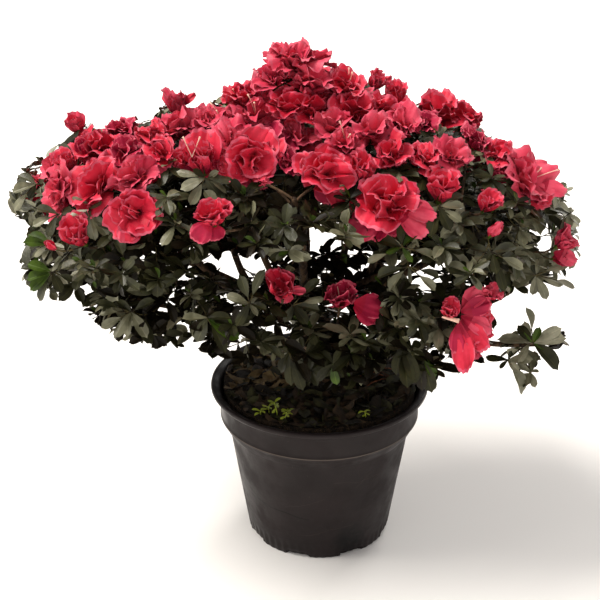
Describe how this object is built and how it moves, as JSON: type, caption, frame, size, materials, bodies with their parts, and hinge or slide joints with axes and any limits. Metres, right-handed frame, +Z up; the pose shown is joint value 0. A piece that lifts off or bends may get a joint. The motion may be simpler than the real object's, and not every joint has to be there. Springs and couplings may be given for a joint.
{
  "type": "azalea in nursery pot",
  "caption": "Low domed azalea shrub in full double bloom, with dark leaves on forked boughs, growing from a tapered black nursery pot filled to the lip.",
  "frame": {"origin": "middle of the flat underside of the pot", "axes": "+Z up along the pot's axis, -Y towards the front that the picture shows, +X to the right of that view"},
  "size_m": [0.4772, 0.3688, 0.4485],
  "materials": {
    "pot": "satin",
    "soil": "matte",
    "bark": "matte",
    "foliage": "matte",
    "blossom": "matte"
  },
  "bodies": {
    "root": {"bough_lower_back_left": "bark", "bough_lower_back_right": "bark", "bough_lower_front": "bark", "bough_lower_front_left": "bark", "bough_lower_front_right": "bark", "bough_lower_left": "bark", "bough_lower_right": "bark", "bough_lower_sprig": "bark", "bough_outer_back": "bark", "bough_outer_back_left": "bark", "bough_outer_back_right": "bark", "bough_outer_front": "bark", "bough_outer_front_left": "bark", "bough_outer_front_right": "bark", "bough_outer_left": "bark", "bough_outer_right": "bark", "bough_top": "bark", "bough_upper_back": "bark", "bough_upper_front_left": "bark", "bough_upper_front_right": "bark", "bough_upper_left": "bark", "bough_upper_right": "bark", "mass_lower_back_left": "foliage", "mass_lower_back_right": "foliage", "mass_lower_front": "foliage", "mass_lower_front_left": "foliage", "mass_lower_front_right": "foliage", "mass_lower_left": "foliage", "mass_lower_right": "foliage", "mass_lower_sprig": "foliage", "mass_outer_back": "blossom", "mass_outer_back_left": "blossom", "mass_outer_back_right": "blossom", "mass_outer_front": "blossom", "mass_outer_front_left": "blossom", "mass_outer_front_right": "blossom", "mass_outer_left": "blossom", "mass_outer_right": "blossom", "mass_top": "blossom", "mass_upper_back": "blossom", "mass_upper_front_left": "blossom", "mass_upper_front_right": "blossom", "mass_upper_left": "blossom", "mass_upper_right": "blossom", "pot": "pot", "soil": "soil", "trunk": "bark"}
  },
  "joints": []
}
